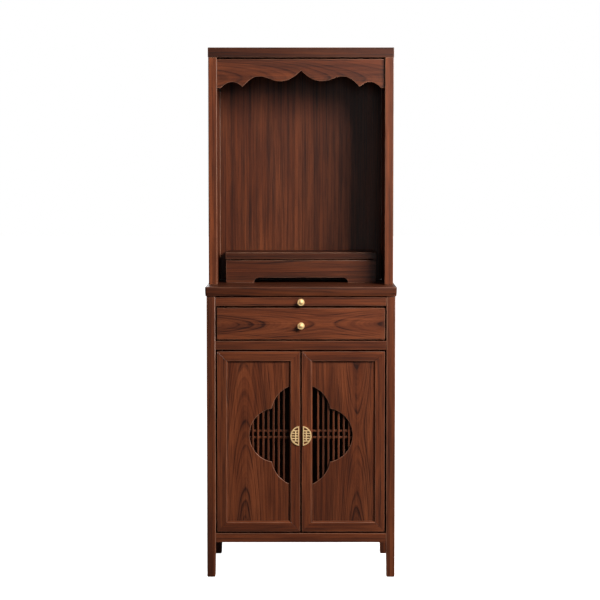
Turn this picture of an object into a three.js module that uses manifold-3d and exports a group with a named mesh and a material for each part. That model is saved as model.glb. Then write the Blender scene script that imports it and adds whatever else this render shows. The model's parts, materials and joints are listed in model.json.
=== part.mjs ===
// Household altar cabinet: a cupboard on four legs with two doors, a drawer and a pull-out shelf, and on
// its worktop an open niche with a scalloped valance and a low step inside.
//
// Millimetres, +Z up, front towards -Y, +X to the right as seen from the front. The origin is on the
// floor, at the centre of the cabinet's width and of its depth with the knobs.

import * as THREE from 'three';
import { mergeVertices } from 'three/addons/utils/BufferGeometryUtils.js';
import Module from 'manifold-3d';

const wasm = await Module();
wasm.setup();

// ---------------------------------------------------------------- driving dimensions

const GAP = 0.3;                 // joint line left between pieces that meet
const ARRIS = 1.2;               // eased edge of most boards
const POST_ARRIS = 2.4;          // legs and posts are eased more

const WORKTOP_DEPTH = 430;
const FACE_SETBACK = 8;          // doors, drawer and rails stand this far behind the worktop's front edge
const KNOB_RADIUS = 12.5;
const KNOB_REACH = 21;
const KNOB_PROUD = KNOB_REACH + GAP - FACE_SETBACK;
const BACK = (WORKTOP_DEPTH + KNOB_PROUD) / 2;   // the wall side, where everything is flush
const FRONT = BACK - WORKTOP_DEPTH;              // front edge of the worktop

const BASE_WIDTH = 670;          // over the lower legs
const LEG = 31;                  // width of a front leg
const LEG_DEPTH = 30;
const REAR_LEG = 39;             // the rear legs are wider, towards the inside
const FOOT_RADIUS = 5;
const TAPER_TOP = 125;           // the legs narrow on the inside below this height
const FRONT_TAPER = 1.5;
const REAR_TAPER = 4;
const LEG_FRONT = FRONT + 6;     // the worktop stands 6 mm proud of the legs
const LEG_BACK = LEG_FRONT + LEG_DEPTH;
const REAR_LEG_FRONT = BACK - LEG_DEPTH;
const INNER = BASE_WIDTH / 2 - LEG;          // half of the clear width between the front legs
const REAR_INNER = BASE_WIDTH / 2 - REAR_LEG;

const FACE = FRONT + FACE_SETBACK;
const FACE_THICKNESS = 20;
const BOTTOM_RAIL = [125, 159];  // heights of each band of the front, from the floor
const DOOR = [163.5, 809.5];
const MIDDLE_RAIL = [815.4, 847];
const DRAWER = [852.7, 964.8];
const SHELF = [971.5, 1003];
const WORKTOP = [1007, 1040];
const TOP_RAIL = [973, WORKTOP[0] - GAP];

const WORKTOP_WIDTH = 680;
const WORKTOP_NOSE = { depth: 9, inset: 4, steps: 3, corner: 8 };

const SIDE_RAIL_SETBACK = 3;     // side rails behind the legs' outer faces
const SIDE_RAIL_THICKNESS = 22;
const SIDE_PANEL_SETBACK = 9;
const PANEL_THICKNESS = 8;
const SIDE_RAIL_INNER = BASE_WIDTH / 2 - SIDE_RAIL_SETBACK - SIDE_RAIL_THICKNESS;
const BACK_RAIL = [BACK - 25, BACK - 3];
const BACK_PANEL = [BACK - 18, BACK - 18 + PANEL_THICKNESS];

const BOARD_THICKNESS = 12;      // bottom board and the board under the drawer

const DOOR_GAP = 6;              // beside each door and between the two
const DOOR_WIDTH = INNER - 1.5 * DOOR_GAP;
const DOOR_FRAME = 38;           // width of a frame member, with its inner bevel
const DOOR_BEVEL = 6;
const DOOR_BEVEL_DEPTH = 5;
const DOOR_LIP = 8;              // thickness of the frame in front of the panel
const DOOR_REBATE = 8;           // how far the panel runs behind the frame

const FRET_HEIGHT = 509;         // centre of the four-lobed opening across both doors
const SIDE_LOBE = { offset: 86.5, radius: 97.2 };
const TOP_LOBE = { offset: 78, radius: 105.3 };
const FRET_RIM = 1.5;            // eased edge of the opening
const BARS = { first: 61, pitch: 18.4, count: 7, width: 6.4, depth: 5, beyond: 10 };
const CROSS_BARS = { height: 511.5, offset: 11.5, width: 6.7, depth: 4.5, bite: 1, inner: 31, outer: 192 };

const PULL = { radius: 35, centre: 2.8, flat: 6.6, height: 508, thickness: 4, rim: 4.4, arris: 0.5 };
const PULL_FRET = { bar: 3.6, pitch: 9.2, rows: 2, upright: 19, uprightWidth: 4.4 };

const SHELF_KNOB = 985.7;        // heights of the two knobs
const DRAWER_KNOB = 901.8;

const DRAWER_BOX = { side: 296, thickness: 12, bottom: 847.6, top: 955, back: 175, panel: 6 };
const DRAWER_BACK_REVEAL = { bottom: 6, top: 5 };    // the drawer's back is lower than its sides
const DRAWER_BOTTOM_RISE = 8;
const SHELF_BOARD = { side: 297, bottom: 978, top: 994, back: 180 };
const SHELF_FRONT_GAP = 1.5;                         // beside the shelf's front lip
const RUNNER = { inner: 285, height: 12 };

const NICHE_WIDTH = 664;         // over the niche posts
const NICHE_FRONT = FRONT + 111;                 // the niche stands back from the worktop's edge
const POST = 31;
const NICHE_INNER = NICHE_WIDTH / 2 - POST;
const NICHE_SIDE = { inner: 303, thickness: 18 };
const NICHE_BACK_THICKNESS = 10;
const NICHE_BACK_FACE = BACK - 25;
const TOP_BOARD = { height: [1855, 1890], width: 666, proud: 2, arris: 2.4 };

// The valance's lower edge, from the middle outwards: distance from the middle, height above its ends.
const VALANCE = {
  setback: 12,
  thickness: 18,
  end: 1746.6,
  peak: { x: 0, z: 61.9 },
  swell: { x: 77.7, z: 24 },
  arch: { x: 150, z: 41 },
  cusp: { x: 209.7, z: 4 },
  smallArch: { x: 247.6, z: 20.8 },
  foot: { x: 287.4, z: 0 },
};
const STEP = { width: 552, front: FRONT + 227, board: 25, top: 1151, proud: 3, endProud: 2, thickness: 14 };
const STEP_ARCH = { top: 18.7, flat: 148, foot: 172 };

// ---------------------------------------------------------------- materials

const walnut = new THREE.MeshStandardMaterial({ color: 0x5f3424, roughness: 0.55, metalness: 0 });
const carcase = new THREE.MeshStandardMaterial({ color: 0x4a281b, roughness: 0.7, metalness: 0 });
const brass = new THREE.MeshStandardMaterial({ color: 0xd9b57a, roughness: 0.32, metalness: 1 });

// ---------------------------------------------------------------- shared forms

function piece(name, geometry, material, x = 0, y = 0, z = 0) {
  const mesh = new THREE.Mesh(geometry, material);
  mesh.name = name;
  mesh.position.set(x, y, z);
  return mesh;
}

// A board with every edge eased. Each argument is the low and high face on that axis.
function board(name, [x0, x1], [y0, y1], [z0, z1], material = walnut, arris = ARRIS) {
  const halfWidth = (x1 - x0) / 2;
  const halfDepth = (y1 - y0) / 2;
  const outline = new THREE.Shape();
  outline.moveTo(-halfWidth + arris, -halfDepth);
  outline.lineTo(halfWidth - arris, -halfDepth);
  outline.lineTo(halfWidth, -halfDepth + arris);
  outline.lineTo(halfWidth, halfDepth - arris);
  outline.lineTo(halfWidth - arris, halfDepth);
  outline.lineTo(-halfWidth + arris, halfDepth);
  outline.lineTo(-halfWidth, halfDepth - arris);
  outline.lineTo(-halfWidth, -halfDepth + arris);
  const geometry = new THREE.ExtrudeGeometry(outline, {
    depth: z1 - z0 - 2 * arris,
    bevelThickness: arris,
    bevelSize: arris,
    bevelOffset: -arris,
    bevelSegments: 1,
  });
  return piece(name, geometry, material, (x0 + x1) / 2, (y0 + y1) / 2, z0 + arris);
}

// The low and high face of a board that runs from `inner` outwards by `thickness` on one side.
function outwards(side, inner, thickness) {
  return [side * inner, side * (inner + thickness)].sort((a, b) => a - b);
}

// A plate cut to an outline, from z = 0 to its thickness, with the edges of both faces eased.
function plate(outline, thickness, arris = ARRIS, curveSegments = 10) {
  const geometry = new THREE.ExtrudeGeometry(outline, {
    depth: thickness - 2 * arris,
    bevelThickness: arris,
    bevelSize: arris,
    bevelOffset: -arris,
    bevelSegments: 1,
    curveSegments,
  });
  return geometry.translate(0, 0, arris);
}

// Stands a plate up, so that its outline is seen from the front (x across, z up), with its front face at y.
function standing(name, geometry, y, thickness, material) {
  const mesh = piece(name, geometry, material, 0, y + thickness, 0);
  mesh.rotation.x = Math.PI / 2;
  return mesh;
}

function toSolid(geometry) {
  const bare = geometry.clone();
  bare.deleteAttribute('normal');
  bare.deleteAttribute('uv');
  const merged = mergeVertices(bare);
  return new wasm.Manifold(new wasm.Mesh({
    numProp: 3,
    vertProperties: new Float32Array(merged.attributes.position.array),
    triVerts: new Uint32Array(merged.index.array),
  }));
}

function toGeometry(solid) {
  const mesh = solid.getMesh();
  const geometry = new THREE.BufferGeometry();
  geometry.setAttribute('position', new THREE.BufferAttribute(mesh.vertProperties, 3));
  geometry.setIndex(new THREE.BufferAttribute(mesh.triVerts, 1));
  return geometry;
}

// ---------------------------------------------------------------- legs, rails and panels of the cupboard

function legOutline(side, width, taper) {
  const outer = BASE_WIDTH / 2;
  const inner = outer - width;
  const foot = inner + taper;
  const top = WORKTOP[0] - GAP;
  const outline = new THREE.Shape();
  outline.moveTo(side * outer, top);
  outline.lineTo(side * outer, FOOT_RADIUS);
  outline.quadraticCurveTo(side * outer, 0, side * (outer - FOOT_RADIUS), 0);
  outline.lineTo(side * (foot + FOOT_RADIUS), 0);
  outline.quadraticCurveTo(side * foot, 0, side * foot, FOOT_RADIUS);
  outline.lineTo(side * inner, TAPER_TOP);
  outline.lineTo(side * inner, top);
  return outline;
}

function legs() {
  const group = new THREE.Group();
  for (const [label, side] of [['left', -1], ['right', 1]]) {
    const front = legOutline(side, LEG, FRONT_TAPER);
    const rear = legOutline(side, REAR_LEG, REAR_TAPER);
    for (const [place, outline, y] of [['front', front, LEG_FRONT], ['rear', rear, REAR_LEG_FRONT]]) {
      const geometry = plate(outline, LEG_DEPTH, POST_ARRIS, 4);
      group.add(standing(`leg_${place}_${label}`, geometry, y, LEG_DEPTH, walnut));
    }
  }
  return group;
}

function rails() {
  const group = new THREE.Group();
  const across = [-INNER + GAP, INNER - GAP];
  group.add(board('rail_front_bottom', across, [FACE, LEG_BACK], BOTTOM_RAIL));
  group.add(board('rail_front_middle', across, [FACE, LEG_BACK], MIDDLE_RAIL));

  const acrossBack = [-REAR_INNER + GAP, REAR_INNER - GAP];
  group.add(board('rail_back_bottom', acrossBack, BACK_RAIL, BOTTOM_RAIL, carcase));
  group.add(board('rail_back_top', acrossBack, BACK_RAIL, TOP_RAIL, carcase));

  const along = [LEG_BACK + GAP, REAR_LEG_FRONT - GAP];
  for (const [label, side] of [['left', -1], ['right', 1]]) {
    const thickness = outwards(side, SIDE_RAIL_INNER, SIDE_RAIL_THICKNESS);
    group.add(board(`rail_side_bottom_${label}`, thickness, along, BOTTOM_RAIL));
    group.add(board(`rail_side_top_${label}`, thickness, along, TOP_RAIL));
  }
  return group;
}

function carcasePanels() {
  const group = new THREE.Group();
  const along = [LEG_BACK + GAP, REAR_LEG_FRONT - GAP];
  const betweenRails = [BOTTOM_RAIL[1] + GAP, TOP_RAIL[0] - GAP];
  const sidePanelInner = BASE_WIDTH / 2 - SIDE_PANEL_SETBACK - PANEL_THICKNESS;
  for (const [label, side] of [['left', -1], ['right', 1]]) {
    const panel = outwards(side, sidePanelInner, PANEL_THICKNESS);
    group.add(board(`side_panel_${label}`, panel, along, betweenRails));
    const bearer = outwards(side, INNER, sidePanelInner - INNER - GAP);
    const bearerHeight = [MIDDLE_RAIL[0], MIDDLE_RAIL[1] - BOARD_THICKNESS - GAP];
    group.add(board(`drawer_bearer_${label}`, bearer, along, bearerHeight, carcase));
    const runner = outwards(side, RUNNER.inner, SIDE_RAIL_INNER - RUNNER.inner - GAP);
    const runnerTop = SHELF_BOARD.bottom - GAP;
    group.add(board(`shelf_runner_${label}`, runner, along, [runnerTop - RUNNER.height, runnerTop], carcase));
  }
  const acrossBack = [-REAR_INNER + GAP, REAR_INNER - GAP];
  group.add(board('back_panel', acrossBack, BACK_PANEL, betweenRails, carcase));

  const across = [-SIDE_RAIL_INNER + GAP, SIDE_RAIL_INNER - GAP];
  for (const [name, top] of [['bottom_board', BOTTOM_RAIL[1]], ['drawer_board', MIDDLE_RAIL[1]]]) {
    group.add(board(name, across, along, [top - BOARD_THICKNESS, top], carcase));
  }
  return group;
}

function worktop() {
  const halfWidth = WORKTOP_WIDTH / 2;
  const { depth, inset, steps, corner } = WORKTOP_NOSE;
  const outline = new THREE.Shape();
  outline.moveTo(-halfWidth + corner, FRONT);
  outline.lineTo(halfWidth - corner, FRONT);
  outline.quadraticCurveTo(halfWidth, FRONT, halfWidth, FRONT + corner);
  outline.lineTo(halfWidth, BACK - corner);
  outline.quadraticCurveTo(halfWidth, BACK, halfWidth - corner, BACK);
  outline.lineTo(-halfWidth + corner, BACK);
  outline.quadraticCurveTo(-halfWidth, BACK, -halfWidth, BACK - corner);
  outline.lineTo(-halfWidth, FRONT + corner);
  outline.quadraticCurveTo(-halfWidth, FRONT, -halfWidth + corner, FRONT);
  const geometry = new THREE.ExtrudeGeometry(outline, {
    depth: WORKTOP[1] - WORKTOP[0] - 2 * depth,
    bevelThickness: depth,
    bevelSize: inset,
    bevelOffset: -inset,
    bevelSegments: steps,
    curveSegments: 3,
  });
  return piece('worktop', geometry, walnut, 0, 0, WORKTOP[0] + depth);
}

// ---------------------------------------------------------------- knobs

// The turned section of a knob, as radius and distance out: back plate, neck, and a domed head with a
// shallow ring.
const KNOB_SECTION = [
  [0, 0], [7.5, 0], [7.5, 1.8], [5, 3.2], [4.5, 9], [8, 11.5],
  [KNOB_RADIUS - 0.8, 13], [KNOB_RADIUS, 15], [KNOB_RADIUS - 0.6, 17.5],
  [10.4, 19], [9.4, 18.4], [7.5, 19.6], [3.5, KNOB_REACH - 0.2], [0, KNOB_REACH],
];

// A brass knob standing on the face at y.
function knob(name, y, height) {
  const section = KNOB_SECTION.map(([radius, out]) => new THREE.Vector2(radius, out));
  const mesh = piece(name, new THREE.LatheGeometry(section, 20), brass, 0, y, height);
  mesh.rotation.x = Math.PI;
  return mesh;
}

// ---------------------------------------------------------------- drawer and pull-out shelf

const FACE_HALF = INNER - DOOR_GAP;          // half width of the drawer front
const FACE_BACK = FACE + FACE_THICKNESS;

function drawer() {
  const group = new THREE.Group();
  const { side, thickness, bottom, top, back, panel } = DRAWER_BOX;
  const inside = side - thickness;
  const across = [-inside + GAP, inside - GAP];
  const behindFront = FACE_BACK + GAP;
  group.add(board('drawer_front', [-FACE_HALF, FACE_HALF], [FACE, FACE_BACK], DRAWER));
  for (const [label, sign] of [['left', -1], ['right', 1]]) {
    const wall = outwards(sign, inside, thickness);
    group.add(board(`drawer_side_${label}`, wall, [behindFront, back], [bottom, top], carcase));
  }
  const backHeight = [bottom + DRAWER_BACK_REVEAL.bottom, top - DRAWER_BACK_REVEAL.top];
  group.add(board('drawer_back', across, [back - thickness, back], backHeight, carcase));
  const bottomDepth = [behindFront, back - thickness - GAP];
  const floor = bottom + DRAWER_BOTTOM_RISE;
  group.add(board('drawer_bottom', across, bottomDepth, [floor, floor + panel], carcase));
  group.add(knob('drawer_knob', FACE - GAP, DRAWER_KNOB));
  return group;
}

function pullOutShelf() {
  const group = new THREE.Group();
  const frontHalf = INNER - SHELF_FRONT_GAP;
  const { side, bottom, top, back } = SHELF_BOARD;
  group.add(board('shelf_front', [-frontHalf, frontHalf], [FACE, FACE_BACK], SHELF));
  group.add(board('shelf_board', [-side, side], [FACE_BACK + GAP, back], [bottom, top]));
  group.add(knob('shelf_knob', FACE - GAP, SHELF_KNOB));
  return group;
}

// ---------------------------------------------------------------- doors

// Section of a door frame member: u runs from the outer edge to the inner edge, v from front to back.
function frameSection() {
  const lipEnd = DOOR_FRAME;
  const rebate = DOOR_FRAME - DOOR_REBATE;
  const section = new THREE.Shape();
  section.moveTo(ARRIS, 0);
  section.lineTo(lipEnd - DOOR_BEVEL, 0);
  section.lineTo(lipEnd, DOOR_BEVEL_DEPTH);
  section.lineTo(lipEnd, DOOR_LIP);
  section.lineTo(rebate, DOOR_LIP);
  section.lineTo(rebate, FACE_THICKNESS);
  section.lineTo(0, FACE_THICKNESS);
  section.lineTo(0, ARRIS);
  return section;
}

// A frame member mitred at both ends, lying along x with its outer edge at z = 0 and its face at y = 0.
function mitredMember(length) {
  const geometry = new THREE.ExtrudeGeometry(frameSection(), { depth: 1, bevelEnabled: false });
  const position = geometry.attributes.position;
  for (let i = 0; i < position.count; i += 1) {
    const across = position.getX(i);
    const back = position.getY(i);
    const end = 1 - 2 * position.getZ(i);
    const reach = length / 2 - across - GAP / 2;
    position.setXYZ(i, end * reach, back, across);
  }
  return geometry;
}

function doorFrame(label, side) {
  const group = new THREE.Group();
  const [bottom, top] = DOOR;
  const centre = side * (DOOR_GAP / 2 + DOOR_WIDTH / 2);
  const middle = (bottom + top) / 2;
  const members = [
    ['rail_bottom', DOOR_WIDTH, 0, centre, bottom],
    ['rail_top', DOOR_WIDTH, Math.PI, centre, top],
    ['stile_low_x', top - bottom, Math.PI / 2, centre - DOOR_WIDTH / 2, middle],
    ['stile_high_x', top - bottom, -Math.PI / 2, centre + DOOR_WIDTH / 2, middle],
  ];
  for (const [member, length, turn, x, z] of members) {
    const isOuter = (member === 'stile_low_x') === (side < 0);
    const stile = isOuter ? 'stile_outer' : 'stile_inner';
    const name = member.startsWith('stile') ? stile : member;
    const mesh = piece(`door_${label}_${name}`, mitredMember(length), walnut, x, FACE, z);
    mesh.rotation.y = turn;
    group.add(mesh);
  }
  return group;
}

// Half of the opening's height at a distance x from the line between the doors.
function fretHalfHeight(x) {
  const lobe = (centreX, centreZ, radius) => {
    const inside = radius ** 2 - (x - centreX) ** 2;
    return inside > 0 ? centreZ + Math.sqrt(inside) : 0;
  };
  return Math.max(lobe(0, TOP_LOBE.offset, TOP_LOBE.radius), lobe(SIDE_LOBE.offset, 0, SIDE_LOBE.radius));
}

// Where the top lobe meets the side lobe, as angles about each lobe's centre.
function lobeCorner() {
  const dx = SIDE_LOBE.offset;
  const dz = -TOP_LOBE.offset;
  const between = Math.hypot(dx, dz);
  const along = (between ** 2 + TOP_LOBE.radius ** 2 - SIDE_LOBE.radius ** 2) / (2 * between);
  const aside = Math.sqrt(TOP_LOBE.radius ** 2 - along ** 2);
  const x = (along * dx - aside * dz) / between;
  const z = TOP_LOBE.offset + (along * dz + aside * dx) / between;
  return {
    top: Math.atan2(z - TOP_LOBE.offset, x),
    side: Math.atan2(z, x - SIDE_LOBE.offset),
  };
}

// A door panel drawn for the right-hand door: x from the line between the doors, z about the opening.
function doorPanelOutline(inner, outer, low, high) {
  const corner = lobeCorner();
  const start = Math.acos(inner / TOP_LOBE.radius);
  const outline = new THREE.Shape();
  outline.moveTo(inner, low);
  outline.lineTo(outer, low);
  outline.lineTo(outer, high);
  outline.lineTo(inner, high);
  outline.lineTo(inner, TOP_LOBE.offset + TOP_LOBE.radius * Math.sin(start));
  outline.absarc(0, TOP_LOBE.offset, TOP_LOBE.radius, start, corner.top, true);
  outline.absarc(SIDE_LOBE.offset, 0, SIDE_LOBE.radius, corner.side, -corner.side, true);
  outline.absarc(0, -TOP_LOBE.offset, TOP_LOBE.radius, -corner.top, -start, true);
  return outline;
}

// Points drawn for the right-hand side, placed on either side and still running the same way round.
function toSide(points, side) {
  const placed = points.map((point) => new THREE.Vector2(side * point.x, point.y));
  return side < 0 ? placed.reverse() : placed;
}

const DOOR_PANEL_FRONT = FACE + DOOR_LIP + GAP;

function doorPanel(label, side) {
  const hidden = DOOR_FRAME - DOOR_REBATE + GAP;
  const inner = DOOR_GAP / 2 + hidden;
  const outer = DOOR_GAP / 2 + DOOR_WIDTH - hidden;
  const low = DOOR[0] + hidden - FRET_HEIGHT;
  const high = DOOR[1] - hidden - FRET_HEIGHT;
  const outline = doorPanelOutline(inner, outer, low, high);
  const shape = new THREE.Shape(toSide(outline.getPoints(14), side));
  const geometry = plate(shape, PANEL_THICKNESS, FRET_RIM);
  const mesh = standing(`door_${label}_panel`, geometry, DOOR_PANEL_FRONT, PANEL_THICKNESS, walnut);
  mesh.position.z = FRET_HEIGHT;
  return mesh;
}

// The lattice of one door is one glued grille: upright bars in front and two cross bars behind them.
function doorLattice(label, side) {
  const front = DOOR_PANEL_FRONT + PANEL_THICKNESS + GAP;
  const crossFront = front + BARS.depth - CROSS_BARS.bite;
  let grille = null;
  const join = (x0, x1, y0, y1, z0, z1) => {
    const box = new THREE.BoxGeometry(x1 - x0, y1 - y0, z1 - z0);
    box.translate(side * (x0 + x1) / 2, (y0 + y1) / 2, (z0 + z1) / 2);
    const solid = toSolid(box);
    grille = grille ? grille.add(solid) : solid;
  };
  for (let i = 0; i < BARS.count; i += 1) {
    const x = BARS.first + i * BARS.pitch;
    const half = fretHalfHeight(x) + BARS.beyond;
    const low = FRET_HEIGHT - half;
    const high = FRET_HEIGHT + half;
    join(x - BARS.width / 2, x + BARS.width / 2, front, front + BARS.depth, low, high);
  }
  for (const direction of [-1, 1]) {
    const z = CROSS_BARS.height + direction * CROSS_BARS.offset;
    const half = CROSS_BARS.width / 2;
    join(CROSS_BARS.inner, CROSS_BARS.outer, crossFront, crossFront + CROSS_BARS.depth, z - half, z + half);
  }
  return piece(`door_${label}_lattice`, toGeometry(grille), walnut);
}

// A window of the pull's fret, cut to the rim: x from `near` to `far`, z from `low` to `high`.
function fretWindow(near, far, low, high) {
  const reach = PULL.radius - PULL.rim;
  const limit = (z) => PULL.centre + Math.sqrt(Math.max(reach ** 2 - z ** 2, 0));
  const steps = 4;
  const points = [new THREE.Vector2(near, low)];
  for (let i = 0; i <= steps; i += 1) {
    const z = low + (high - low) * (i / steps);
    points.push(new THREE.Vector2(Math.min(far, limit(z)), z));
  }
  points.push(new THREE.Vector2(near, high));
  return points;
}

// Windows of the pull: rows between level bars, on both sides of one upright bar, and a tall one at each end.
function fretWindows() {
  const { bar, pitch, rows, upright, uprightWidth } = PULL_FRET;
  const near = PULL.flat + PULL.rim * 0.8;
  const farSide = PULL.radius + PULL.centre;
  const uprightLeft = upright - uprightWidth / 2;
  const uprightRight = upright + uprightWidth / 2;
  const windows = [];
  for (let row = -rows; row < rows; row += 1) {
    const low = row * pitch + bar / 2;
    const high = (row + 1) * pitch - bar / 2;
    windows.push(fretWindow(near, uprightLeft, low, high));
    windows.push(fretWindow(uprightRight, farSide, low, high));
  }
  const endLow = rows * pitch + bar / 2;
  const reach = PULL.radius - PULL.rim;
  const endHigh = Math.sqrt(reach ** 2 - (near - PULL.centre) ** 2);
  const end = fretWindow(near, farSide, endLow, endHigh).slice(0, -1);
  windows.push(end);
  windows.push(end.map((point) => new THREE.Vector2(point.x, -point.y)).reverse());
  return windows;
}

function doorPull(label, side) {
  const flatAngle = Math.acos((PULL.flat - PULL.centre) / PULL.radius);
  const half = new THREE.Shape();
  half.absarc(PULL.centre, 0, PULL.radius, -flatAngle, flatAngle, false);
  const shape = new THREE.Shape(toSide(half.getPoints(14), side));
  let pull = toSolid(plate(shape, PULL.thickness, PULL.arris));
  for (const window of fretWindows()) {
    const through = new THREE.ExtrudeGeometry(new THREE.Shape(toSide(window, side)), {
      depth: PULL.thickness * 2,
      bevelEnabled: false,
    });
    through.translate(0, 0, -PULL.thickness / 2);
    pull = pull.subtract(toSolid(through));
  }
  const front = FACE - GAP - PULL.thickness;
  const mesh = standing(`door_${label}_pull`, toGeometry(pull), front, PULL.thickness, brass);
  mesh.position.z = PULL.height;
  return mesh;
}

function door(label, side) {
  const group = new THREE.Group();
  group.add(doorFrame(label, side));
  group.add(doorPanel(label, side));
  group.add(doorLattice(label, side));
  group.add(doorPull(label, side));
  return group;
}

// ---------------------------------------------------------------- niche

// One stretch of the valance's edge between two named points. `leave` and `arrive` are the slopes there, and
// each control point lies a share of the way across.
function edgeCurve(path, from, to, leave, arrive, share = 0.36) {
  const span = to.x - from.x;
  path.bezierCurveTo(
    from.x + share * span, from.z + share * span * leave,
    to.x - share * span, to.z - share * span * arrive,
    to.x, to.z,
  );
}

function valanceOutline() {
  const { peak, swell, arch, cusp, smallArch, foot } = VALANCE;
  const top = TOP_BOARD.height[0] - GAP - VALANCE.end;
  const half = NICHE_INNER - GAP;
  const right = new THREE.Path();
  right.moveTo(peak.x, peak.z);
  edgeCurve(right, peak, swell, -1, 0);
  edgeCurve(right, swell, arch, 0, 0);
  edgeCurve(right, arch, cusp, 0, -1.1);
  edgeCurve(right, cusp, smallArch, 0.85, 0);
  edgeCurve(right, smallArch, foot, 0, -1);
  const lower = right.getPoints(7);
  const left = lower.map((point) => new THREE.Vector2(-point.x, point.y)).reverse();
  return new THREE.Shape([
    new THREE.Vector2(-half, top),
    new THREE.Vector2(-half, 0),
    ...left,
    ...lower.slice(1),
    new THREE.Vector2(half, 0),
    new THREE.Vector2(half, top),
  ]);
}

function niche() {
  const group = new THREE.Group();
  const height = [WORKTOP[1] + GAP, TOP_BOARD.height[0] - GAP];
  const frontPost = [NICHE_FRONT, NICHE_FRONT + POST];
  const rearPost = [BACK - POST, BACK];
  const between = [frontPost[1] + GAP, rearPost[0] - GAP];
  for (const [label, side] of [['left', -1], ['right', 1]]) {
    const post = outwards(side, NICHE_INNER, POST);
    const panel = outwards(side, NICHE_SIDE.inner, NICHE_SIDE.thickness);
    group.add(board(`niche_post_front_${label}`, post, frontPost, height, walnut, POST_ARRIS));
    group.add(board(`niche_post_rear_${label}`, post, rearPost, height, walnut, POST_ARRIS));
    group.add(board(`niche_side_${label}`, panel, between, height));
  }
  const across = [-NICHE_INNER + GAP, NICHE_INNER - GAP];
  const back = [NICHE_BACK_FACE, NICHE_BACK_FACE + NICHE_BACK_THICKNESS];
  group.add(board('niche_back', across, back, height));

  const valanceFront = NICHE_FRONT + VALANCE.setback;
  const valanceBoard = plate(valanceOutline(), VALANCE.thickness);
  const valance = standing('valance', valanceBoard, valanceFront, VALANCE.thickness, walnut);
  valance.position.z = VALANCE.end;
  group.add(valance);

  const topHalf = TOP_BOARD.width / 2;
  const topDepth = [NICHE_FRONT - TOP_BOARD.proud, BACK];
  const { height: topHeight, arris } = TOP_BOARD;
  group.add(board('top_board', [-topHalf, topHalf], topDepth, topHeight, walnut, arris));
  return group;
}

// ---------------------------------------------------------------- step inside the niche

function stepFrontOutline(half, height) {
  const { top, flat, foot } = STEP_ARCH;
  const outline = new THREE.Shape();
  outline.moveTo(-half, 0);
  outline.lineTo(-foot, 0);
  outline.quadraticCurveTo(-foot, top, -flat, top);
  outline.lineTo(flat, top);
  outline.quadraticCurveTo(foot, top, foot, 0);
  outline.lineTo(half, 0);
  outline.lineTo(half, height);
  outline.lineTo(-half, height);
  return outline;
}

function step() {
  const group = new THREE.Group();
  const floor = WORKTOP[1] + GAP;
  const half = STEP.width / 2;
  const wallHalf = half - STEP.endProud;
  const under = STEP.top - STEP.board - GAP;
  const behind = NICHE_BACK_FACE - GAP;
  const boardDepth = [STEP.front - STEP.proud, behind];
  group.add(board('step_top', [-half, half], boardDepth, [STEP.top - STEP.board, STEP.top]));

  const outline = stepFrontOutline(wallHalf, under - floor);
  const frontBoard = plate(outline, STEP.thickness, ARRIS, 6);
  const front = standing('step_front', frontBoard, STEP.front, STEP.thickness, walnut);
  front.position.z = floor;
  group.add(front);

  const sideDepth = [STEP.front + STEP.thickness + GAP, behind];
  for (const [label, side] of [['left', -1], ['right', 1]]) {
    const wall = outwards(side, wallHalf - STEP.thickness, STEP.thickness);
    group.add(board(`step_side_${label}`, wall, sideDepth, [floor, under]));
  }
  return group;
}

// ---------------------------------------------------------------- whole cabinet

const cabinet = new THREE.Group();
cabinet.add(legs(), rails(), carcasePanels(), worktop());
cabinet.add(drawer(), pullOutShelf(), door('left', -1), door('right', 1));
cabinet.add(niche(), step());

export default cabinet;
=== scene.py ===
"""Household altar cabinet: eased walnut boards, fretted doors and brass fittings around the packed frame."""

import itertools
import json
import math
from dataclasses import dataclass

import bmesh
import bpy
from bpy.props import FloatProperty, FloatVectorProperty, IntProperty, PointerProperty
from bpy.types import Operator, Panel, PropertyGroup
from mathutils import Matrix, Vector
from mathutils.geometry import tessellate_polygon

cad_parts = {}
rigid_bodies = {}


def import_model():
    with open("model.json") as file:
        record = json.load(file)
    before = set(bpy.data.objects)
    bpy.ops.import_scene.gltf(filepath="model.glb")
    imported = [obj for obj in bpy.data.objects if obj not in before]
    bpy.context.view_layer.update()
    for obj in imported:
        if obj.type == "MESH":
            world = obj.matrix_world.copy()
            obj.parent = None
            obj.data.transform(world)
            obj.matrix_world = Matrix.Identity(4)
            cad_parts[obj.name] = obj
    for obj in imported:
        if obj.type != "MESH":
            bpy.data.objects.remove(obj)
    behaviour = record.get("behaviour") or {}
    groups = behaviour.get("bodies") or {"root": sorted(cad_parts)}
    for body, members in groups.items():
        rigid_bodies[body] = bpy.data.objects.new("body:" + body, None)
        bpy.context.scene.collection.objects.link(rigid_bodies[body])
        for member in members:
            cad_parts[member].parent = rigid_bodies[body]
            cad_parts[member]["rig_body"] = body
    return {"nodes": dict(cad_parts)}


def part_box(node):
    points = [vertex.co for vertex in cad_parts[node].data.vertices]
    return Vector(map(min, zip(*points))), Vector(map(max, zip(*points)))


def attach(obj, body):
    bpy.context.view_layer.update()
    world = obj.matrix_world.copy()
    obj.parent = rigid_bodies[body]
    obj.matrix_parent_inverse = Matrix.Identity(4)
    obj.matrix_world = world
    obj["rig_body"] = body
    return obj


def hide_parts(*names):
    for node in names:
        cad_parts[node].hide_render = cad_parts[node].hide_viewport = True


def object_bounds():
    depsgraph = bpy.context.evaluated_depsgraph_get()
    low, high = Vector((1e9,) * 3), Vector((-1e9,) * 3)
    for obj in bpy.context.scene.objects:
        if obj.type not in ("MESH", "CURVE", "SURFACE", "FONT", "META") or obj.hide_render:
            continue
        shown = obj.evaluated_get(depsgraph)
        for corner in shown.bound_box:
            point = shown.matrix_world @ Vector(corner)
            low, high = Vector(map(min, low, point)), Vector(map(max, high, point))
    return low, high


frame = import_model()
CAD_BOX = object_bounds()

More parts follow.
